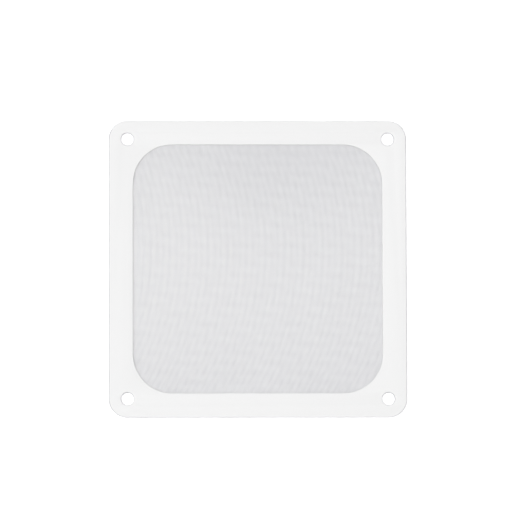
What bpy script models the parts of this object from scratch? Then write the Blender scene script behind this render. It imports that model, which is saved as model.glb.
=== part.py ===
"""Flat dust filter for a 120 mm case fan.

A white face frame and a white backing frame trap the margin of a woven mesh panel between them.
The filter lies on its backing frame: its back is at z = 0 and its face looks up.
"""

import math

import bmesh
import bpy
from mathutils import Matrix, Vector

# Plan of the frames, as seen from the front.
FRAME_SIDE = 0.1200
FRAME_CORNER_RADIUS = 0.0075
RIM_WIDTH = 0.0097
WINDOW_CORNER_RADIUS = 0.0160
HOLE_INSET = 0.0075
HOLE_DIAMETER = 0.0050

# Face frame, the upper sheet. Its lip is what stands over the mesh.
LIP_THICKNESS = 0.0005
FACE_EDGE_ROUND = 0.00025

# Backing frame, the lower sheet. Its window stands back from the face frame's, out of sight.
BACKING_THICKNESS = 0.0005
BACKING_EDGE_ROUND = 0.00012
BACKING_WINDOW_SETBACK = 0.0004

# Mesh panel. Outside the mesh, the two frames are bonded on a land that runs round the rim.
# Each ridge stands for four threads. The openings have whole ridges between them, and together
# they let through about as much as the real cloth does.
BONDED_LAND = 0.0057
HOLE_LAND = 0.0032
MESH_THICKNESS = 0.0004
RIDGE_PITCH = 0.0018
RIDGE_HEIGHT = 0.0001
RIDGES_PER_OPENING = 3
RIDGES_PER_BAND = 2
OPENING_ALLOWANCE = 0.0001
OPENING_TO_WINDOW = 0.0015

# Clearances between the layers.
BOND_LINE = 0.0001
MESH_HEADROOM = 0.0001
REBATE_CLEARANCE = 0.0003

# Points on the round stretches, how far a cutter stands clear of what it cuts, how much thicker
# the mesh panel's blank is on each side, and how many teeth of its cutter overhang it there.
FRAME_CORNER_SEGMENTS = 12
WINDOW_CORNER_SEGMENTS = 16
HOLE_SEGMENTS = 24
FACE_ROUND_RESOLUTION = 1
BACKING_ROUND_RESOLUTION = 0
CUTTER_OVERSHOOT = 0.001
BLANK_ALLOWANCE = 0.0001
SPARE_TEETH = 2
WELD_DISTANCE = 0.000001

# Worked out from the values above.
FRAME_HALF = FRAME_SIDE / 2
WINDOW_HALF = FRAME_HALF - RIM_WIDTH
HOLE_OFFSET = FRAME_HALF - HOLE_INSET
MESH_HALF = FRAME_HALF - BONDED_LAND
MESH_BOTTOM = BACKING_THICKNESS + BOND_LINE
MESH_TOP = MESH_BOTTOM + MESH_THICKNESS
REBATE_TOP = MESH_TOP + MESH_HEADROOM
FACE_BOTTOM = BACKING_THICKNESS + BOND_LINE
FACE_TOP = REBATE_TOP + LIP_THICKNESS

# Finishes: linear colour and roughness.
FRAME_COLOUR = (0.896, 0.896, 0.896, 1.0)
FRAME_ROUGHNESS = 0.45
MESH_COLOUR = (0.753, 0.753, 0.768, 1.0)
MESH_ROUGHNESS = 0.6


def clear_scene():
    """Removes every object that the scene starts with."""
    for obj in list(bpy.data.objects):
        bpy.data.objects.remove(obj, do_unlink=True)


def new_collection(name):
    collection = bpy.data.collections.new(name)
    bpy.context.scene.collection.children.link(collection)
    return collection


def plastic(name, colour, roughness):
    """A plain Principled material."""
    material = bpy.data.materials.new(name)
    material.use_nodes = True
    shader = material.node_tree.nodes["Principled BSDF"]
    shader.inputs["Base Color"].default_value = colour
    shader.inputs["Roughness"].default_value = roughness
    shader.inputs["Metallic"].default_value = 0.0
    material.diffuse_color = colour
    return material


def arc_points(centre, radius, start, sweep, segments):
    """Points along an arc, both ends included."""
    angles = [start + sweep * step / segments for step in range(segments + 1)]
    return [
        (centre[0] + radius * math.cos(angle), centre[1] + radius * math.sin(angle))
        for angle in angles
    ]


def rounded_square(half, radius, segments):
    """A square outline with round corners, anticlockwise."""
    quarter = math.pi / 2
    inner = half - radius
    corners = [(inner, inner), (-inner, inner), (-inner, -inner), (inner, -inner)]
    points = []
    for turn, centre in enumerate(corners):
        points += arc_points(centre, radius, turn * quarter, quarter, segments)
    return points


def circle(centre, radius, segments):
    """A round outline, anticlockwise, with its first point given once."""
    return arc_points(centre, radius, 0.0, math.tau, segments)[:-1]


def screw_holes():
    """The outlines of the four screw holes, one in each corner."""
    centres = [(x, y) for x in (-HOLE_OFFSET, HOLE_OFFSET) for y in (-HOLE_OFFSET, HOLE_OFFSET)]
    return [circle(centre, HOLE_DIAMETER / 2, HOLE_SEGMENTS) for centre in centres]


def mesh_corner_radius():
    """The mesh panel's corner radius, which leaves a land between its corner and the screw hole."""
    reach = HOLE_DIAMETER / 2 + HOLE_LAND + REBATE_CLEARANCE
    corner = HOLE_OFFSET - reach / math.sqrt(2)
    radius = (MESH_HALF - corner) / (1 - 1 / math.sqrt(2))
    return min(max(radius, REBATE_CLEARANCE), MESH_HALF)


def outline_curve(name, outlines, thickness, edge_round=0.0, resolution=0):
    """A flat 2D curve with filled faces: the first outline is the rim and the others are holes."""
    curve = bpy.data.curves.new(name, "CURVE")
    curve.dimensions = "2D"
    curve.fill_mode = "BOTH"
    curve.extrude = thickness / 2 - edge_round
    curve.bevel_depth = edge_round
    curve.bevel_resolution = resolution
    curve.offset = -edge_round
    for outline in outlines:
        spline = curve.splines.new("POLY")
        spline.points.add(len(outline) - 1)
        spline.use_cyclic_u = True
        for point, (x, y) in zip(spline.points, outline):
            point.co = (x, y, 0.0, 1.0)
    return curve


def solid_from_curve(name, curve, matrix, collection, material=None):
    """Turns a filled curve into a welded mesh object that stands where the curve would."""
    guide = bpy.data.objects.new(name + "_curve", curve)
    guide.matrix_world = matrix
    bpy.context.scene.collection.objects.link(guide)
    bpy.context.view_layer.update()
    graph = bpy.context.evaluated_depsgraph_get()
    mesh = bpy.data.meshes.new_from_object(guide.evaluated_get(graph))
    mesh.name = name
    bm = bmesh.new()
    bm.from_mesh(mesh)
    bmesh.ops.remove_doubles(bm, verts=bm.verts, dist=WELD_DISTANCE)
    bmesh.ops.recalc_face_normals(bm, faces=bm.faces)
    bm.to_mesh(mesh)
    bm.free()
    obj = bpy.data.objects.new(name, mesh)
    obj.matrix_world = guide.matrix_world.copy()
    bpy.data.objects.remove(guide, do_unlink=True)
    bpy.data.curves.remove(curve)
    collection.objects.link(obj)
    if material:
        mesh.materials.clear()
        mesh.materials.append(material)
    return obj


def raised(bottom, thickness):
    """The place of a flat curve whose lower face is to lie at the height given."""
    return Matrix.Translation((0.0, 0.0, bottom + thickness / 2))


def as_cutter(obj):
    """Marks an object as a cutting tool, which isn't part of the filter."""
    obj.hide_render = True
    obj.display_type = "WIRE"
    return obj


def cut(obj, cutter, name):
    """Takes the cutter's volume out of the object."""
    modifier = obj.modifiers.new(name, "BOOLEAN")
    modifier.operation = "DIFFERENCE"
    modifier.solver = "EXACT"
    modifier.object = cutter


def build_backing_frame(parts, material):
    """The lower sheet: a die-cut square ring with four screw holes."""
    half = WINDOW_HALF + BACKING_WINDOW_SETBACK
    radius = WINDOW_CORNER_RADIUS + BACKING_WINDOW_SETBACK
    outlines = [
        rounded_square(FRAME_HALF, FRAME_CORNER_RADIUS, FRAME_CORNER_SEGMENTS),
        rounded_square(half, radius, WINDOW_CORNER_SEGMENTS),
        *screw_holes(),
    ]
    curve = outline_curve(
        "backing_frame", outlines, BACKING_THICKNESS, BACKING_EDGE_ROUND, BACKING_ROUND_RESOLUTION
    )
    place = raised(0.0, BACKING_THICKNESS)
    return solid_from_curve("back_frame", curve, place, parts, material)


def build_face_frame(parts, cutters, material):
    """The upper sheet: the same ring, thicker, with a rebate under its lip for the mesh."""
    outlines = [
        rounded_square(FRAME_HALF, FRAME_CORNER_RADIUS, FRAME_CORNER_SEGMENTS),
        rounded_square(WINDOW_HALF, WINDOW_CORNER_RADIUS, WINDOW_CORNER_SEGMENTS),
        *screw_holes(),
    ]
    thickness = FACE_TOP - FACE_BOTTOM
    curve = outline_curve(
        "face_frame", outlines, thickness, FACE_EDGE_ROUND, FACE_ROUND_RESOLUTION
    )
    place = raised(FACE_BOTTOM, thickness)
    frame = solid_from_curve("front_frame", curve, place, parts, material)
    cut(frame, build_rebate_cutter(cutters), "mesh_rebate")
    return frame


def build_rebate_cutter(cutters):
    """The room for the mesh panel's margin, cut up into the face frame from its back."""
    outline = rounded_square(
        MESH_HALF + REBATE_CLEARANCE,
        mesh_corner_radius() + REBATE_CLEARANCE,
        WINDOW_CORNER_SEGMENTS,
    )
    bottom = FACE_BOTTOM - CUTTER_OVERSHOOT
    depth = REBATE_TOP - bottom
    curve = outline_curve("rebate", [outline], depth)
    return as_cutter(solid_from_curve("rebate_cutter", curve, raised(bottom, depth), cutters))


def saw_tooth_profile(top):
    """The outline of a saw-toothed block: its points make the valleys between the ridges."""
    teeth_each_side = int(MESH_HALF / RIDGE_PITCH) + SPARE_TEETH
    first = (RIDGES_PER_OPENING / 2 - RIDGES_PER_OPENING // 2 - teeth_each_side) * RIDGE_PITCH
    profile = []
    for tooth in range(2 * teeth_each_side):
        valley = first + tooth * RIDGE_PITCH
        profile += [(valley, 0.0), (valley + RIDGE_PITCH / 2, RIDGE_HEIGHT)]
    left, right = profile[0][0], profile[-1][0]
    return profile + [(right, top), (left, top)]


def build_ridge_cutter(name, turn, valley_height, faces_up, cutters):
    """A saw-toothed block that leaves ridges like threads on one face of the mesh panel."""
    profile = saw_tooth_profile(RIDGE_HEIGHT + BLANK_ALLOWANCE + CUTTER_OVERSHOOT)
    curve = outline_curve(name, [profile], 2 * (MESH_HALF + CUTTER_OVERSHOOT))
    stand_up = Matrix.Rotation(math.pi / 2 if faces_up else -math.pi / 2, 4, "X")
    lift = Matrix.Translation((0.0, 0.0, valley_height))
    place = Matrix.Rotation(turn, 4, "Z") @ lift @ stand_up
    return as_cutter(solid_from_curve(name, curve, place, cutters))


def inside_window(x, y, border):
    """True for a point in the window that lies at least this far from its edge."""
    inner = WINDOW_HALF - WINDOW_CORNER_RADIUS
    past_x = max(abs(x) - inner, 0.0)
    past_y = max(abs(y) - inner, 0.0)
    return math.hypot(past_x, past_y) <= WINDOW_CORNER_RADIUS - border


def build_opening_cutter(cutters):
    """Square pins for the grid of openings. Their sides stand just past the valleys."""
    side = RIDGES_PER_OPENING * RIDGE_PITCH + 2 * OPENING_ALLOWANCE
    step = (RIDGES_PER_OPENING + RIDGES_PER_BAND) * RIDGE_PITCH
    height = MESH_THICKNESS + 2 * (BLANK_ALLOWANCE + CUTTER_OVERSHOOT)
    middle = (MESH_BOTTOM + MESH_TOP) / 2
    size = Matrix.Diagonal(Vector((side, side, height, 1.0)))
    reach = int(WINDOW_HALF / step)
    bm = bmesh.new()
    for row in range(-reach, reach + 1):
        for column in range(-reach, reach + 1):
            x, y = column * step, row * step
            if inside_window(abs(x) + side / 2, abs(y) + side / 2, OPENING_TO_WINDOW):
                bmesh.ops.create_cube(bm, matrix=Matrix.Translation((x, y, middle)) @ size)
    mesh = bpy.data.meshes.new("opening_pins")
    bm.to_mesh(mesh)
    bm.free()
    pins = bpy.data.objects.new("opening_pins", mesh)
    cutters.objects.link(pins)
    return as_cutter(pins)


def build_filter_mesh(parts, cutters, material):
    """The woven panel: warp ridges up the front, weft ridges across the back, and openings."""
    outline = rounded_square(MESH_HALF, mesh_corner_radius(), WINDOW_CORNER_SEGMENTS)
    thickness = MESH_THICKNESS + 2 * BLANK_ALLOWANCE
    curve = outline_curve("mesh_panel", [outline], thickness)
    place = raised(MESH_BOTTOM - BLANK_ALLOWANCE, thickness)
    panel = solid_from_curve("filter_mesh", curve, place, parts, material)
    warp = build_ridge_cutter("warp_ridges", 0.0, MESH_TOP - RIDGE_HEIGHT, True, cutters)
    weft = build_ridge_cutter(
        "weft_ridges", math.pi / 2, MESH_BOTTOM + RIDGE_HEIGHT, False, cutters
    )
    cut(panel, warp, "warp_ridges")
    cut(panel, weft, "weft_ridges")
    cut(panel, build_opening_cutter(cutters), "mesh_openings")
    return panel


def main():
    clear_scene()
    parts = new_collection("fan_dust_filter")
    cutters = new_collection("cutters")
    frame_plastic = plastic("white_pvc_sheet", FRAME_COLOUR, FRAME_ROUGHNESS)
    mesh_nylon = plastic("white_nylon_mesh", MESH_COLOUR, MESH_ROUGHNESS)
    build_backing_frame(parts, frame_plastic)
    build_filter_mesh(parts, cutters, mesh_nylon)
    build_face_frame(parts, cutters, frame_plastic)


main()
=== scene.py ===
"""Dresses the flat fan dust filter: white PVC frame sheets and a woven nylon mesh, in a white studio.

Lengths are metres in the model's own frame: the filter lies on its back, its face up, +Y up the picture.
"""

from __future__ import annotations

import logging
import math
from dataclasses import dataclass, field
from enum import Enum

import bmesh
import bpy
from mathutils import Matrix, Vector


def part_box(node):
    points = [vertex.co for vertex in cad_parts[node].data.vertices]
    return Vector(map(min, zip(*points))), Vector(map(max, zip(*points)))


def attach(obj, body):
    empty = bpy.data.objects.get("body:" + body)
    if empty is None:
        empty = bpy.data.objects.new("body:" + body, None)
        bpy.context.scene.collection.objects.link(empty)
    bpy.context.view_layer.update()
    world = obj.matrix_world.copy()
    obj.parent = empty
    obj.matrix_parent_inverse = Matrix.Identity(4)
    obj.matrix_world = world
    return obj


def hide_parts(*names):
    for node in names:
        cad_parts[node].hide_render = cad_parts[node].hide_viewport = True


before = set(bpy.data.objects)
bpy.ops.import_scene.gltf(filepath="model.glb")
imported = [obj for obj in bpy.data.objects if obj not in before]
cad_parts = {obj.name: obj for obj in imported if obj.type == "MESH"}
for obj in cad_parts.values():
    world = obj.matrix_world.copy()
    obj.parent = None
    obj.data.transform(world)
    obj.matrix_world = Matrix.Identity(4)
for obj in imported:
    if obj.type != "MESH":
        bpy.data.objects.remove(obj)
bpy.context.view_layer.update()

LOG = logging.getLogger("fan_dust_filter")
MM = 0.001
WELD = 0.001 * MM
MATH, VECTOR_MATH = "ShaderNodeMath", "ShaderNodeVectorMath"

Point2 = tuple[float, float]
Outline = list[Point2]


class Family(Enum):
    """The two thread families of a plain weave: (turn about +Z in radians, sign of the first crossing)."""

    WARP = (0.0, 1.0)
    WEFT = (math.pi / 2, -1.0)


class Threads(Enum):
    """Every other thread of a family, as the loom lifts them: whether the middle thread is one of them."""

    EVEN = True
    ODD = False


def linear(hex_colour: str) -> tuple[float, float, float, float]:
    """Turns an sRGB hex colour into a linear colour.

    Args:
        hex_colour: six hex digits, such as F3F3F3.

    Returns:
        Red, green, blue and alpha, linear.
    """
    channels = []
    for start in (0, 2, 4):
        value = int(hex_colour[start : start + 2], 16) / 255
        channels.append(value / 12.92 if value <= 0.04045 else ((value + 0.055) / 1.055) ** 2.4)
    return (channels[0], channels[1], channels[2], 1.0)


def add_node(tree: bpy.types.NodeTree, kind: str, values: dict | None = None) -> bpy.types.Node:
    """Adds a node with its settings and links.

    Args:
        tree: the tree that takes the node.
        kind: the node's type.
        values: setting names, or input names or numbers, each with its value or with the socket or
            the node that feeds it.

    Returns:
        The new node.
    """
    node = tree.nodes.new(kind)
    for key, value in (values or {}).items():
        if isinstance(value, bpy.types.Node):
            value = value.outputs[0]
        if isinstance(value, bpy.types.NodeSocket):
            tree.links.new(value, node.inputs[key])
        elif isinstance(key, int) or key in node.inputs:
            node.inputs[key].default_value = value
        else:
            setattr(node, key, value)
    return node


def new_material(name: str) -> bpy.types.Material:
    """Makes a material with an empty tree.

    Args:
        name: the material's name.

    Returns:
        The new material.
    """
    material = bpy.data.materials.new(name)
    material.use_nodes = True
    material.node_tree.nodes.clear()
    return material


@dataclass(frozen=True)
class CalenderedPvc:
    """White PVC sheet, calendered matt and die-cut.

    To the eye it is an even, slightly soft white with a very fine grain and a broad, weak shine. The
    real grain is under 0.1 mm, and it is drawn coarser so that it shows.
    """

    name: str = "calendered_white_PVC"
    colour: str = "EDEDED"
    cloudy_colour: str = "ECECEC"
    roughness: float = 0.46
    roughness_swing: float = 0.04
    index_of_refraction: float = 1.53
    cloud_size: float = 18 * MM
    grain_size: float = 0.35 * MM
    grain_depth: float = 0.004 * MM

    def material(self) -> bpy.types.Material:
        """Builds the sheet's material on Object coordinates.

        Returns:
            The finished material.
        """
        material = new_material(self.name)
        tree = material.node_tree
        place = add_node(tree, "ShaderNodeTexCoord").outputs["Object"]
        cloud = add_node(
            tree, "ShaderNodeTexNoise", {"Scale": 1 / self.cloud_size, "Detail": 3.0, "Vector": place}
        )
        colours = {6: linear(self.colour), 7: linear(self.cloudy_colour)}
        colour = add_node(tree, "ShaderNodeMix", {"data_type": "RGBA", 0: cloud, **colours})
        grain = add_node(
            tree, "ShaderNodeTexNoise", {"Scale": 1 / self.grain_size, "Detail": 2.0, "Vector": place}
        )
        least, most = self.roughness - self.roughness_swing, self.roughness + self.roughness_swing
        shine = add_node(tree, "ShaderNodeMapRange", {"Value": grain, "To Min": least, "To Max": most})
        bump = add_node(tree, "ShaderNodeBump", {"Distance": self.grain_depth, "Height": grain.outputs[0]})
        shader = add_node(
            tree,
            "ShaderNodeBsdfPrincipled",
            {
                "Base Color": colour.outputs[2],
                "Roughness": shine,
                "IOR": self.index_of_refraction,
                "Normal": bump,
            },
        )
        add_node(tree, "ShaderNodeOutputMaterial", {"Surface": shader})
        return material


@dataclass(frozen=True)
class PaintedCutEdgeShade:
    """The rim and the holes, where one last die has cut through both PVC sheets and their glue.

    Its grey is painted shade: the fine grey line that draws the outline, darker on the left and right
    than at the top and bottom. The die's scores are drawn coarser than the real ones so that they
    show.
    """

    name: str = "PVC_edge_painted_shade"
    # Painted shade colours of the cut edge: the darker for the left and right, the lighter for the top and
    # bottom.
    left_right_shade_colour: str = "C6C6C9"
    top_bottom_shade_colour: str = "E8E8EA"
    roughness: float = 0.6
    index_of_refraction: float = 1.53
    side_shade_width: float = 6 * MM
    score_width: float = 0.3 * MM
    score_share: float = 0.12

    def material(self) -> bpy.types.Material:
        """Builds the cut edge's material on Object coordinates.

        Returns:
            The finished material.
        """
        material = new_material(self.name)
        tree = material.node_tree
        place = add_node(tree, "ShaderNodeTexCoord").outputs["Object"]
        # Painted shade: the left and right edges take the darker grey, the top and bottom edges the lighter.
        mirrored = add_node(tree, VECTOR_MATH, {"operation": "ABSOLUTE", 0: place})
        lead = add_node(tree, VECTOR_MATH, {"operation": "DOT_PRODUCT", 0: mirrored, 1: (-1.0, 1.0, 0.0)})
        turn = add_node(
            tree,
            "ShaderNodeMapRange",
            {"Value": lead.outputs["Value"], "From Min": -self.side_shade_width, "From Max": self.side_shade_width},
        )
        upright = add_node(tree, VECTOR_MATH, {"operation": "MULTIPLY", 0: place, 1: (1.0, 1.0, 0.0)})
        scores = add_node(
            tree, "ShaderNodeTexNoise", {"Scale": 1 / self.score_width, "Detail": 2.0, "Vector": upright}
        )
        scored = add_node(
            tree, MATH, {"operation": "MULTIPLY_ADD", 0: scores, 1: -self.score_share, 2: turn}
        )
        colours = {6: linear(self.left_right_shade_colour), 7: linear(self.top_bottom_shade_colour)}
        colour = add_node(tree, "ShaderNodeMix", {"data_type": "RGBA", 0: scored, **colours})
        shader = add_node(
            tree,
            "ShaderNodeBsdfPrincipled",
            {"Base Color": colour.outputs[2], "Roughness": self.roughness, "IOR": self.index_of_refraction},
        )
        add_node(tree, "ShaderNodeOutputMaterial", {"Surface": shader})
        return material


@dataclass(frozen=True)
class WovenNylon:
    """White nylon monofilament, drawn and woven.

    Each thread has a soft gloss of its own. Together they give a light grey with faint upright marks
    from the reed of the loom, and fainter slanting bands from its beat. Painted shade makes it darker
    towards both ends and the right, and most in a patch at the top.

    Each share says how far a pattern takes the threads from their colour to their shade. The reed's
    marks lie across by the bow times the square of how far up they are from where they run straight.
    """

    name: str = "woven_white_nylon_monofilament"
    colour: str = "F5F5F6"
    shade_colour: str = "DEDEE1"
    roughness: float = 0.38
    index_of_refraction: float = 1.53
    reed_pitch: float = 2.57 * MM
    reed_bow: float = 5.0
    reed_straight_at: float = 7.6 * MM
    reed_share: float = 0.15
    beat_pitch: float = 5.9 * MM
    beat_slant: float = math.radians(19)
    beat_share: float = 0.07
    slub_width: float = 0.8 * MM
    slub_length: float = 5 * MM
    slub_share: float = 0.7
    base_share: float = 0.12
    # Painted shade: darker towards both ends, towards the right and in a patch at the top.
    lightest_at: float = 2.6 * MM
    painted_end_shade_reach: float = 46 * MM
    painted_end_shade_share: float = 0.24
    painted_side_shade_reach: float = 50 * MM
    painted_side_shade_share: float = 0.12
    painted_top_shade_centre: Point2 = (4 * MM, 46 * MM)
    painted_top_shade_reach: float = 30 * MM
    painted_top_shade_share: float = 0.27

    def material(self) -> bpy.types.Material:
        """Builds the mesh's material on Object coordinates.

        Returns:
            The finished material.
        """
        material = new_material(self.name)
        tree = material.node_tree
        place = add_node(tree, "ShaderNodeTexCoord").outputs["Object"]
        colours = {6: linear(self.colour), 7: linear(self.shade_colour)}
        share = self.shade_share(tree, place)
        colour = add_node(tree, "ShaderNodeMix", {"data_type": "RGBA", 0: share, **colours})
        shader = add_node(
            tree,
            "ShaderNodeBsdfPrincipled",
            {"Base Color": colour.outputs[2], "Roughness": self.roughness, "IOR": self.index_of_refraction},
        )
        add_node(tree, "ShaderNodeOutputMaterial", {"Surface": shader})
        return material

    def shade_share(self, tree: bpy.types.NodeTree, place: bpy.types.NodeSocket) -> bpy.types.Node:
        """Adds up the cloth's patterns and its painted shade.

        Args:
            tree: the material's tree.
            place: the socket that gives Object coordinates.

        Returns:
            The node that gives the share of the shade colour.
        """
        axes = add_node(tree, "ShaderNodeSeparateXYZ", {"Vector": place})
        across, up = axes.outputs["X"], axes.outputs["Y"]

        off_straight = add_node(tree, MATH, {"operation": "SUBTRACT", 0: up, 1: self.reed_straight_at})
        bow = add_node(tree, MATH, {"operation": "MULTIPLY", 0: off_straight, 1: off_straight})
        bowed = add_node(tree, MATH, {"operation": "MULTIPLY_ADD", 0: bow, 1: self.reed_bow, 2: across})
        angle = add_node(tree, MATH, {"operation": "MULTIPLY", 0: bowed, 1: math.tau / self.reed_pitch})
        reed = add_node(tree, MATH, {"operation": "SINE", 0: angle})

        slant = Vector((math.sin(self.beat_slant), math.cos(self.beat_slant), 0.0))
        slant *= math.tau / self.beat_pitch
        climb = add_node(tree, VECTOR_MATH, {"operation": "DOT_PRODUCT", 0: place, 1: slant})
        beat = add_node(tree, MATH, {"operation": "SINE", 0: climb.outputs["Value"]})

        slub_x = add_node(tree, MATH, {"operation": "DIVIDE", 0: bowed, 1: self.slub_width})
        slub_y = add_node(tree, MATH, {"operation": "DIVIDE", 0: up, 1: self.slub_length})
        slub_place = add_node(tree, "ShaderNodeCombineXYZ", {"X": slub_x, "Y": slub_y})
        slub = add_node(tree, "ShaderNodeTexNoise", {"Scale": 1.0, "Detail": 2.0, "Vector": slub_place})

        # Painted shade: a patch darker towards the top.
        centre = (*self.painted_top_shade_centre, 0.0)
        off_centre = add_node(tree, VECTOR_MATH, {"operation": "DISTANCE", 0: place, 1: centre})
        off_share = add_node(
            tree, MATH, {"operation": "DIVIDE", 0: off_centre.outputs["Value"], 1: self.painted_top_shade_reach}
        )
        square = add_node(tree, MATH, {"operation": "MULTIPLY", 0: off_share, 1: off_share})
        fade = add_node(tree, MATH, {"operation": "MULTIPLY", 0: square, 1: -1.0})
        tight = add_node(tree, MATH, {"operation": "EXPONENT", 0: fade})

        # Painted shade: darker towards both ends.
        off_lightest = add_node(tree, MATH, {"operation": "SUBTRACT", 0: up, 1: self.lightest_at})
        ends = add_node(tree, MATH, {"operation": "MULTIPLY", 0: off_lightest, 1: off_lightest})

        share: float | bpy.types.Node = self.base_share
        # The last three terms are painted shade: the top patch, both ends and the right side.
        for pattern, weight in (
            (reed, self.reed_share),
            (beat, self.beat_share),
            (slub, self.slub_share),
            (tight, self.painted_top_shade_share),
            (ends, self.painted_end_shade_share / self.painted_end_shade_reach**2),
            (across, self.painted_side_shade_share / self.painted_side_shade_reach),
        ):
            share = add_node(tree, MATH, {"operation": "MULTIPLY_ADD", 0: pattern, 1: weight, 2: share})
        return share


def arc(centre: Point2, radius: float, start: float, sweep: float, segments: int) -> Outline:
    """Gives the points along an arc.

    Args:
        centre: the arc's centre.
        radius: its radius.
        start: the angle of its first point.
        sweep: the angle that it turns through.
        segments: how many straight steps it has.

    Returns:
        The points, both ends included.
    """
    angles = [start + sweep * step / segments for step in range(segments + 1)]
    return [(centre[0] + radius * math.cos(a), centre[1] + radius * math.sin(a)) for a in angles]


def rounded_square(half: float, radius: float, segments: int) -> Outline:
    """Gives a square outline with round corners, anticlockwise.

    Args:
        half: half its side.
        radius: its corner radius.
        segments: the steps in each corner.

    Returns:
        The outline's points.
    """
    quarter, inner = math.pi / 2, half - radius
    corners = [(inner, inner), (-inner, inner), (-inner, -inner), (inner, -inner)]
    outline: Outline = []
    for turn, centre in enumerate(corners):
        outline += arc(centre, radius, turn * quarter, quarter, segments)
    return outline


@dataclass
class FilterPlan:
    """The filter's plan, which both frame sheets follow."""

    half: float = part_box("front_frame")[1].x
    rim_width: float = 9.7 * MM
    corner_radius: float = 7.5 * MM
    window_radius: float = 16 * MM
    hole_inset: float = 7.5 * MM
    hole_radius: float = 2.5 * MM
    corner_segments: int = 28
    window_segments: int = 40
    hole_segments: int = 56

    @property
    def window_half(self) -> float:
        """Half the window's side."""
        return self.half - self.rim_width

    def off_window(self, point: Vector) -> tuple[float, Vector]:
        """Measures how far a point lies outside the window's outline.

        Args:
            point: a point; its height doesn't matter.

        Returns:
            The distance, below zero inside the window, and the level direction that leads away.
        """
        inner = self.window_half - self.window_radius
        past = Vector([math.copysign(max(abs(value) - inner, 0.0), value) for value in (point.x, point.y)])
        return past.length - self.window_radius, past.normalized().to_3d()

    def is_cut_through(self, point: Vector, depth: float) -> bool:
        """Tells whether a point lies within a depth of the rim or of a screw hole.

        Args:
            point: a point; its height doesn't matter.
            depth: how far into the sheet still counts.

        Returns:
            True where it does.
        """
        inner = self.half - self.corner_radius
        past = [max(abs(value) - inner, 0.0) for value in (point.x, point.y)]
        offset = self.half - self.hole_inset
        from_hole = math.hypot(abs(point.x) - offset, abs(point.y) - offset)
        return math.hypot(*past) > self.corner_radius - depth or from_hole < self.hole_radius + depth

    def holes(self) -> list[Outline]:
        """Gives the outlines of the four screw holes.

        Returns:
            Four outlines, one for each hole.
        """
        offset = self.half - self.hole_inset
        centres = [(x, y) for x in (-offset, offset) for y in (-offset, offset)]
        return [arc(c, self.hole_radius, 0.0, math.tau, self.hole_segments)[:-1] for c in centres]


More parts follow.
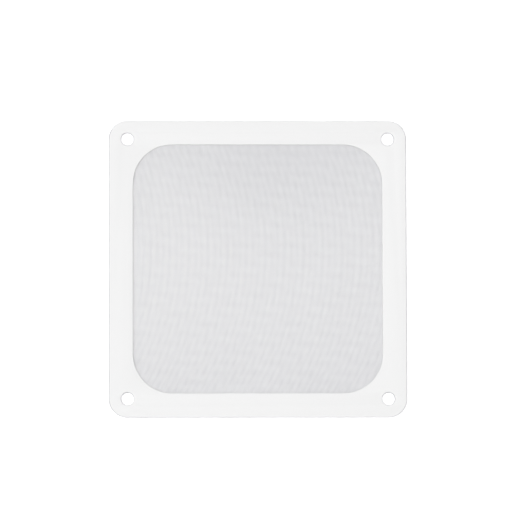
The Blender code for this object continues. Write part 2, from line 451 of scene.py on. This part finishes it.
@dataclass
class FrameSheet:
    """One die-cut frame sheet, with its edges eased by the cutting die.

    The sheet that holds the woven panel has a rebate for the panel's margin in its back. The walls
    within the cut depth of the rim or a hole, steeper than the face tilt, take the painted shade of the cut
    edge.
    """

    name: str
    node: str
    plan: FilterPlan
    finish: bpy.types.Material
    edge_shade_finish: bpy.types.Material
    edge_round: float
    window_round_share: float = 1.0
    window_setback: float = 0.0
    panel: WovenPanel | None = None
    panel_clearance: float = 0.3 * MM
    panel_headroom: float = 0.1 * MM
    rebate_overrun: float = 1 * MM
    round_steps: int = 3
    smooth_angle: float = math.radians(40)
    face_tilt: float = math.radians(8)
    edge_shade_depth: float = 1 * MM

    def build(self) -> bpy.types.Object:
        """Makes the sheet where its CAD node lies, and stands it for that node.

        Returns:
            The finished sheet.
        """
        low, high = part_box(self.node)
        window = rounded_square(
            self.plan.window_half + self.window_setback,
            self.plan.window_radius + self.window_setback,
            self.plan.window_segments,
        )
        rim = rounded_square(self.plan.half, self.plan.corner_radius, self.plan.corner_segments)
        mesh = self.plate([rim, window, *self.plan.holes()], low.z, high.z, self.edge_round)
        self.crisp_window(mesh, high.z)
        sheet = bpy.data.objects.new(self.name, mesh)
        bpy.context.scene.collection.objects.link(sheet)
        if self.panel:
            self.cut_rebate(sheet, self.panel, low.z)
        self.dress(sheet.data)
        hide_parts(self.node)
        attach(sheet, "root")
        return sheet

    def crisp_window(self, mesh: bpy.types.Mesh, top: float) -> None:
        """Draws in the rounding of the window's upper edge, which the die leaves sharper.

        Args:
            mesh: the plate.
            top: the height of its upper face.
        """
        if self.window_round_share == 1.0:
            return
        taken = 1 - self.window_round_share
        for vertex in mesh.vertices:
            off, away = self.plan.off_window(vertex.co)
            below = top - vertex.co.z
            if max(off, below) < self.edge_round + WELD:
                vertex.co += Vector((0.0, 0.0, below * taken)) - away * off * taken

    def dress(self, mesh: bpy.types.Mesh) -> None:
        """Shades the sheet smooth, and gives its faces their finish and its cut edges their painted shade.

        Args:
            mesh: the sheet's finished mesh.
        """
        mesh.shade_smooth()
        mesh.set_sharp_from_angle(angle=self.smooth_angle)
        mesh.materials.clear()
        mesh.materials.append(self.finish)
        mesh.materials.append(self.edge_shade_finish)
        # The walls of the rim and the holes take the painted edge shade.
        for polygon in mesh.polygons:
            is_tilted = abs(polygon.normal.z) < math.cos(self.face_tilt)
            takes_edge_shade = is_tilted and self.plan.is_cut_through(polygon.center, self.edge_shade_depth)
            polygon.material_index = int(takes_edge_shade)

    def plate(self, outlines: list[Outline], bottom: float, top: float, edge_round: float) -> bpy.types.Mesh:
        """Makes a flat plate from its outlines, in place.

        Args:
            outlines: the rim, then the holes.
            bottom: the height of its lower face.
            top: the height of its upper face.
            edge_round: how far its edges are rounded.

        Returns:
            A welded mesh whose faces point out.
        """
        curve = bpy.data.curves.new(self.name + "_outline", "CURVE")
        curve.dimensions, curve.fill_mode = "2D", "BOTH"
        curve.extrude = (top - bottom) / 2 - edge_round
        curve.bevel_depth, curve.bevel_resolution = edge_round, self.round_steps
        curve.offset = -edge_round
        for outline in outlines:
            spline = curve.splines.new("POLY")
            spline.points.add(len(outline) - 1)
            spline.use_cyclic_u = True
            for point, (x, y) in zip(spline.points, outline):
                point.co = (x, y, 0.0, 1.0)
        guide = bpy.data.objects.new(self.name + "_guide", curve)
        bpy.context.scene.collection.objects.link(guide)
        bpy.context.view_layer.update()
        graph = bpy.context.evaluated_depsgraph_get()
        mesh = bpy.data.meshes.new_from_object(guide.evaluated_get(graph))
        bpy.data.objects.remove(guide, do_unlink=True)
        bpy.data.curves.remove(curve)
        mesh.transform(Matrix.Translation((0.0, 0.0, (bottom + top) / 2)))
        work = bmesh.new()
        work.from_mesh(mesh)
        bmesh.ops.remove_doubles(work, verts=work.verts, dist=WELD)
        bmesh.ops.recalc_face_normals(work, faces=work.faces)
        work.to_mesh(mesh)
        work.free()
        return mesh

    def cut_rebate(self, sheet: bpy.types.Object, panel: WovenPanel, bottom: float) -> None:
        """Cuts the room for the woven panel's margin out of the sheet's back.

        Args:
            sheet: the sheet that is cut.
            panel: the panel that lies in it.
            bottom: the height of the sheet's lower face.
        """
        outline = rounded_square(
            panel.half + self.panel_clearance,
            panel.corner_radius + self.panel_clearance,
            self.plan.window_segments,
        )
        top = panel.top + self.panel_headroom
        block = self.plate([outline], bottom - self.rebate_overrun, top, 0.0)
        cutter = bpy.data.objects.new("rebate_block", block)
        bpy.context.scene.collection.objects.link(cutter)
        cut = sheet.modifiers.new("rebate", "BOOLEAN")
        cut.operation, cut.solver, cut.object = "DIFFERENCE", "EXACT", cutter
        bpy.context.view_layer.update()
        graph = bpy.context.evaluated_depsgraph_get()
        mesh = bpy.data.meshes.new_from_object(sheet.evaluated_get(graph))
        sheet.modifiers.remove(cut)
        sheet.data = mesh
        bpy.data.objects.remove(cutter, do_unlink=True)


@dataclass
class WovenPanel:
    """The plain-woven mesh, as two families of real threads that pass over and under each other.

    Each family is made as its even and its odd threads, the two sets that the loom lifts in turn.
    The real cloth may be a little finer than a thread every 0.45 mm, which is what the triangles allow.
    """

    finish: bpy.types.Material
    node: str = "filter_mesh"
    corner_radius: float = 20.63 * MM
    pitch: float = 0.45 * MM
    thread_radius: float = 0.105 * MM
    rise: float = 0.08 * MM
    thread_sides: int = 3
    flat_side_up: float = math.radians(90)
    half: float = field(init=False)
    top: float = field(init=False)
    height: float = field(init=False)
    tree: bpy.types.NodeTree = field(init=False)

    def __post_init__(self) -> None:
        """Reads the panel's place from its CAD node and makes the weave's node tree."""
        low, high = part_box(self.node)
        self.half, self.top, self.height = high.x, high.z, (low.z + high.z) / 2
        self.tree = self.weave_tree()

    def weave_tree(self) -> bpy.types.NodeTree:
        """Builds the Geometry Nodes tree that weaves one family of threads.

        Returns:
            The tree, with a named input for each size.
        """
        tree = bpy.data.node_groups.new("thread_family", "GeometryNodeTree")
        inputs = {
            "Threads": "NodeSocketInt",
            "Thread Spacing": "NodeSocketFloat",
            "Crossings": "NodeSocketInt",
            "Pitch": "NodeSocketFloat",
            "Thread Radius": "NodeSocketFloat",
            "Thread Sides": "NodeSocketInt",
            "Thread Roll": "NodeSocketFloat",
            "Rise": "NodeSocketFloat",
            "Half Side": "NodeSocketFloat",
            "Corner Radius": "NodeSocketFloat",
            "Height": "NodeSocketFloat",
            "Turn": "NodeSocketFloat",
            "Finish": "NodeSocketMaterial",
        }
        for name, kind in inputs.items():
            tree.interface.new_socket(name, in_out="INPUT", socket_type=kind)
        tree.interface.new_socket("Threads Out", in_out="OUTPUT", socket_type="NodeSocketGeometry")
        given = add_node(tree, "NodeGroupInput").outputs
        lines = self.thread_lines(tree, given)
        solid = self.thread_solids(tree, given, self.crimp(tree, given, lines))
        turn = add_node(tree, "ShaderNodeCombineXYZ", {"Z": given["Turn"]})
        turned = add_node(tree, "GeometryNodeTransform", {"Geometry": solid, "Rotation": turn})
        smooth = add_node(tree, "GeometryNodeSetShadeSmooth", {"Geometry": turned})
        real = add_node(tree, "GeometryNodeRealizeInstances", {"Geometry": smooth})
        dressed = add_node(tree, "GeometryNodeSetMaterial", {"Geometry": real, "Material": given["Finish"]})
        add_node(tree, "NodeGroupOutput", {0: dressed})
        return tree

    def thread_lines(self, tree: bpy.types.NodeTree, given: bpy.types.bpy_prop_collection) -> bpy.types.Node:
        """Lays the threads as straight lines and trims them to the panel's outline.

        Args:
            tree: the weave's tree.
            given: its inputs.

        Returns:
            The node that gives the lines.
        """
        copies = add_node(
            tree,
            "GeometryNodeInstanceOnPoints",
            {
                "Points": self.row_of_points(tree, given["Threads"], given["Thread Spacing"], "X"),
                "Instance": self.row_of_points(tree, given["Crossings"], given["Pitch"], "Y"),
            },
        )
        lines = add_node(tree, "GeometryNodeRealizeInstances", {"Geometry": copies})
        at = add_node(tree, "GeometryNodeInputPosition")
        radius = given["Corner Radius"]
        inner = add_node(tree, MATH, {"operation": "SUBTRACT", 0: given["Half Side"], 1: radius})
        quarter = add_node(tree, VECTOR_MATH, {"operation": "ABSOLUTE", 0: at})
        beyond = add_node(tree, VECTOR_MATH, {"operation": "SUBTRACT", 0: quarter, 1: inner})
        past = add_node(tree, VECTOR_MATH, {"operation": "MAXIMUM", 0: beyond, 1: (0.0, 0.0, 0.0)})
        reach = add_node(tree, VECTOR_MATH, {"operation": "LENGTH", 0: past}).outputs["Value"]
        outside = add_node(tree, MATH, {"operation": "GREATER_THAN", 0: reach, 1: radius})
        return add_node(
            tree, "GeometryNodeDeleteGeometry", {"domain": "POINT", "Geometry": lines, "Selection": outside}
        )

    @staticmethod
    def crimp(
        tree: bpy.types.NodeTree, given: bpy.types.bpy_prop_collection, lines: bpy.types.Node
    ) -> bpy.types.Node:
        """Lifts each thread over one neighbour and under the next, by half a wave for each crossing.

        Args:
            tree: the weave's tree.
            given: its inputs.
            lines: the node that gives the straight lines.

        Returns:
            The node that gives the crimped lines.
        """
        at = add_node(tree, "GeometryNodeInputPosition")
        half_waves = {"operation": "DOT_PRODUCT", 0: at, 1: (math.pi, math.pi, 0.0)}
        along = add_node(tree, VECTOR_MATH, half_waves).outputs["Value"]
        angle = add_node(tree, MATH, {"operation": "DIVIDE", 0: along, 1: given["Pitch"]})
        wave = add_node(tree, MATH, {"operation": "COSINE", 0: angle})
        lifts = {"operation": "MULTIPLY_ADD", 0: wave, 1: given["Rise"], 2: given["Height"]}
        offset = add_node(tree, "ShaderNodeCombineXYZ", {"Z": add_node(tree, MATH, lifts)})
        return add_node(tree, "GeometryNodeSetPosition", {"Geometry": lines, "Offset": offset})

    @staticmethod
    def thread_solids(
        tree: bpy.types.NodeTree, given: bpy.types.bpy_prop_collection, lines: bpy.types.Node
    ) -> bpy.types.Node:
        """Gives the threads their body, with a flat side up and closed ends.

        Args:
            tree: the weave's tree.
            given: its inputs.
            lines: the node that gives the crimped lines.

        Returns:
            The node that gives the threads.
        """
        paths = add_node(tree, "GeometryNodeMeshToCurve", {"Mesh": lines})
        upright = add_node(tree, "GeometryNodeSetCurveNormal", {"mode": "Z_UP", "Curve": paths})
        section = add_node(
            tree,
            "GeometryNodeCurvePrimitiveCircle",
            {"Resolution": given["Thread Sides"], "Radius": given["Thread Radius"]},
        )
        roll = add_node(tree, "ShaderNodeCombineXYZ", {"Z": given["Thread Roll"]})
        rolled = add_node(tree, "GeometryNodeTransform", {"Geometry": section, "Rotation": roll})
        return add_node(
            tree, "GeometryNodeCurveToMesh", {"Fill Caps": True, "Curve": upright, "Profile Curve": rolled}
        )

    @staticmethod
    def row_of_points(
        tree: bpy.types.NodeTree, count: bpy.types.NodeSocket, pitch: bpy.types.NodeSocket, axis: str
    ) -> bpy.types.Node:
        """Lays a centred row of points along an axis.

        Args:
            tree: the weave's tree.
            count: how many points.
            pitch: how far apart they are.
            axis: X or Y.

        Returns:
            The node that gives the row.
        """
        gaps = add_node(tree, MATH, {"operation": "SUBTRACT", 0: count, 1: 1.0})
        length = add_node(tree, MATH, {"operation": "MULTIPLY", 0: gaps, 1: pitch})
        back = add_node(tree, MATH, {"operation": "MULTIPLY", 0: length, 1: -0.5})
        start = add_node(tree, "ShaderNodeCombineXYZ", {axis: back})
        step = add_node(tree, "ShaderNodeCombineXYZ", {axis: pitch})
        places = {"Count": count, "Start Location": start, "Offset": step}
        return add_node(tree, "GeometryNodeMeshLine", {"mode": "OFFSET", **places})

    def count(self, threads: Threads | None = None) -> int:
        """Counts a family's threads, or only its even or odd ones, about the middle thread.

        Args:
            threads: even or odd, or None for all of them.

        Returns:
            How many there are.
        """
        beside = int(self.half / self.pitch)
        if threads is None:
            return 2 * beside + 1
        return 2 * (beside // 2) + 1 if threads.value else 2 * ((beside + 1) // 2)

    def build_threads(self, name: str, family: Family, threads: Threads) -> bpy.types.Object:
        """Weaves the even or the odd threads of one family and turns them into a plain mesh.

        Args:
            name: the piece's name.
            family: warp or weft.
            threads: even or odd.

        Returns:
            The finished threads.
        """
        turn, first = family.value
        piece = bpy.data.objects.new(name, bpy.data.meshes.new(name))
        bpy.context.scene.collection.objects.link(piece)
        weave = piece.modifiers.new("weave", "NODES")
        weave.node_group = self.tree
        values = {
            "Threads": self.count(threads),
            "Thread Spacing": 2 * self.pitch,
            "Crossings": self.count(),
            "Pitch": self.pitch,
            "Thread Radius": self.thread_radius,
            "Thread Sides": self.thread_sides,
            "Thread Roll": self.flat_side_up,
            "Rise": self.rise * first,
            "Half Side": self.half,
            "Corner Radius": self.corner_radius,
            "Height": self.height,
            "Turn": turn,
            "Finish": self.finish,
        }
        for socket in self.tree.interface.items_tree:
            if socket.in_out == "INPUT":
                weave[socket.identifier] = values[socket.name]
        bpy.context.view_layer.update()
        graph = bpy.context.evaluated_depsgraph_get()
        mesh = bpy.data.meshes.new_from_object(piece.evaluated_get(graph))
        piece.modifiers.remove(weave)
        piece.data = mesh
        mesh.name = name
        return piece

    def build(self) -> list[bpy.types.Object]:
        """Returns:
            The four sets of threads, the even warp threads first.
        """
        pieces = [
            self.build_threads(f"mesh_{family.name}_{threads.name}_threads".lower(), family, threads)
            for family in Family
            for threads in Threads
        ]
        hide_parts(self.node)
        for piece in pieces:
            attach(piece, "root")
        return pieces


@dataclass(frozen=True)
class SoftBox:
    """One wide soft light: where it hangs, how wide it looks, and its share of the table's light."""

    name: str
    hangs_at: tuple[float, float, float]
    level: float
    spread: float = math.radians(50)
    in_gloss: bool = True

    def hang(self) -> None:
        """Hangs the light, which falls on the whole table alike."""
        direction = Vector(self.hangs_at).normalized()
        light = bpy.data.lights.new(self.name, "SUN")
        light.energy = math.pi * self.level / direction.z
        light.angle = self.spread
        lamp = bpy.data.objects.new(self.name, light)
        lamp.rotation_mode = "QUATERNION"
        lamp.rotation_quaternion = direction.to_track_quat("Z", "Y")
        lamp.visible_glossy = self.in_gloss
        bpy.context.scene.collection.objects.link(lamp)


@dataclass
class Studio:
    """A white table under soft even light, seen from nearly straight above as the picture shows it.

    The middle is where the filter's middle stands, in pixels from the picture's top left corner.
    """

    picture_width: int = 522
    scale: float = 2.482 / MM
    middle: Point2 = (257.75, 268.75)
    lens: float = 400.0
    sensor: float = 36.0
    tip: float = math.radians(5.36)
    swing: float = math.radians(-1.68)
    clip: tuple[float, float] = (0.01, 10.0)
    floor_half: float = 2.0
    floor_gap: float = 0.02 * MM
    floor_colour: str = "FFFFFF"
    floor_lift: float = 0.20
    world_level: float = 0.10
    soft_boxes: tuple[SoftBox, ...] = (
        SoftBox("soft_box_overhead", (0.0, 0.0, 1.0), 0.68, math.radians(24), False),
        SoftBox("soft_box_near", (0.0, -1.0, 1.2), 0.04),
        SoftBox("soft_box_left", (-0.7, 0.0, 1.0), 0.24, math.radians(6), False),
    )

    def build_floor(self) -> bpy.types.Object:
        """Lays the white table just under the filter.

        Returns:
            The table.
        """
        work = bmesh.new()
        bmesh.ops.create_grid(work, x_segments=2, y_segments=2, size=self.floor_half)
        mesh = bpy.data.meshes.new("white_table")
        work.to_mesh(mesh)
        work.free()
        mesh.transform(Matrix.Translation((0.0, 0.0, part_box("back_frame")[0].z - self.floor_gap)))
        floor = bpy.data.objects.new("white_table", mesh)
        bpy.context.scene.collection.objects.link(floor)
        mesh.materials.append(self.floor_material())
        return floor

    def floor_material(self) -> bpy.types.Material:
        """Makes a white laminate, lifted a little for the camera so that it reads as pure white.

        Returns:
            The table's material.
        """
        material = new_material("white_laminate_table")
        tree = material.node_tree
        rays = add_node(tree, "ShaderNodeLightPath").outputs
        seen = add_node(
            tree, MATH, {"operation": "MAXIMUM", 0: rays["Is Camera Ray"], 1: rays["Is Glossy Ray"]}
        )
        lift = add_node(tree, MATH, {"operation": "MULTIPLY", 0: seen, 1: self.floor_lift})
        body = add_node(tree, "ShaderNodeBsdfDiffuse", {"Color": linear(self.floor_colour)})
        glow = add_node(tree, "ShaderNodeEmission", {"Strength": lift})
        both = add_node(tree, "ShaderNodeAddShader", {0: body, 1: glow})
        add_node(tree, "ShaderNodeOutputMaterial", {"Surface": both})
        return material

    def build_world(self) -> None:
        """Fills the room with soft white light, and shows it as white to the camera and to gloss."""
        world = bpy.data.worlds.new("white_room")
        world.use_nodes = True
        bpy.context.scene.world = world
        tree = world.node_tree
        tree.nodes.clear()
        rays = add_node(tree, "ShaderNodeLightPath").outputs
        clear = add_node(
            tree, MATH, {"operation": "MAXIMUM", 0: rays["Is Glossy Ray"], 1: rays["Is Transmission Ray"]}
        )
        sight = add_node(tree, MATH, {"operation": "MAXIMUM", 0: rays["Is Camera Ray"], 1: clear})
        white = linear("FFFFFF")
        room = add_node(tree, "ShaderNodeBackground", {"Color": white, "Strength": self.world_level})
        plain = add_node(tree, "ShaderNodeBackground", {"Color": white, "Strength": 1.0})
        mixed = add_node(tree, "ShaderNodeMixShader", {0: sight, 1: room, 2: plain})
        add_node(tree, "ShaderNodeOutputWorld", {"Surface": mixed})

    def build_camera(self) -> bpy.types.Object:
        """Sets the camera nearly straight above the filter, as far off its middle as the picture is.

        Returns:
            The scene's camera.
        """
        centre = self.picture_width / 2
        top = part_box("front_frame")[1].z
        aim = Vector(((centre - self.middle[0]) / self.scale, (self.middle[1] - centre) / self.scale, top))
        away = self.picture_width / self.scale * self.lens / self.sensor
        turn = Matrix.Rotation(self.tip, 4, "X") @ Matrix.Rotation(self.swing, 4, "Y")
        data = bpy.data.cameras.new("camera")
        data.lens, data.sensor_width = self.lens, self.sensor
        data.clip_start, data.clip_end = self.clip
        camera = bpy.data.objects.new("camera", data)
        camera.matrix_world = Matrix.Translation(aim) @ turn @ Matrix.Translation((0.0, 0.0, away))
        bpy.context.scene.collection.objects.link(camera)
        bpy.context.scene.camera = camera
        return camera

    def build(self) -> None:
        """Builds the table, the light and the camera."""
        self.build_camera()
        self.build_floor()
        self.build_world()
        for soft_box in self.soft_boxes:
            soft_box.hang()
        bpy.context.scene.view_settings.view_transform = "Standard"


def report(piece: bpy.types.Object) -> None:
    """Logs a piece's name and how many triangles it has.

    Args:
        piece: a finished piece.
    """
    triangles = sum(len(polygon.vertices) - 2 for polygon in piece.data.polygons)
    LOG.info("%s: %d triangles", piece.name, triangles)


def main() -> None:
    """Builds the studio, then the filter from its back to its face."""
    logging.basicConfig(level=logging.INFO, format="%(name)s: %(message)s")
    Studio().build()
    plan = FilterPlan()
    pvc = CalenderedPvc().material()
    # Painted shade on the rim and hole edges.
    painted_edge_shade = PaintedCutEdgeShade().material()
    nylon = WovenNylon().material()
    backing = FrameSheet(
        "backing_sheet", "back_frame", plan, pvc, painted_edge_shade, edge_round=0.12 * MM, window_setback=0.4 * MM
    )
    panel = WovenPanel(nylon)
    face = FrameSheet(
        "face_sheet",
        "front_frame",
        plan,
        pvc,
        painted_edge_shade,
        edge_round=0.25 * MM,
        window_round_share=0.4,
        panel=panel,
    )
    report(backing.build())
    for threads in panel.build():
        report(threads)
    report(face.build())


if __name__ == "__main__":
    main()
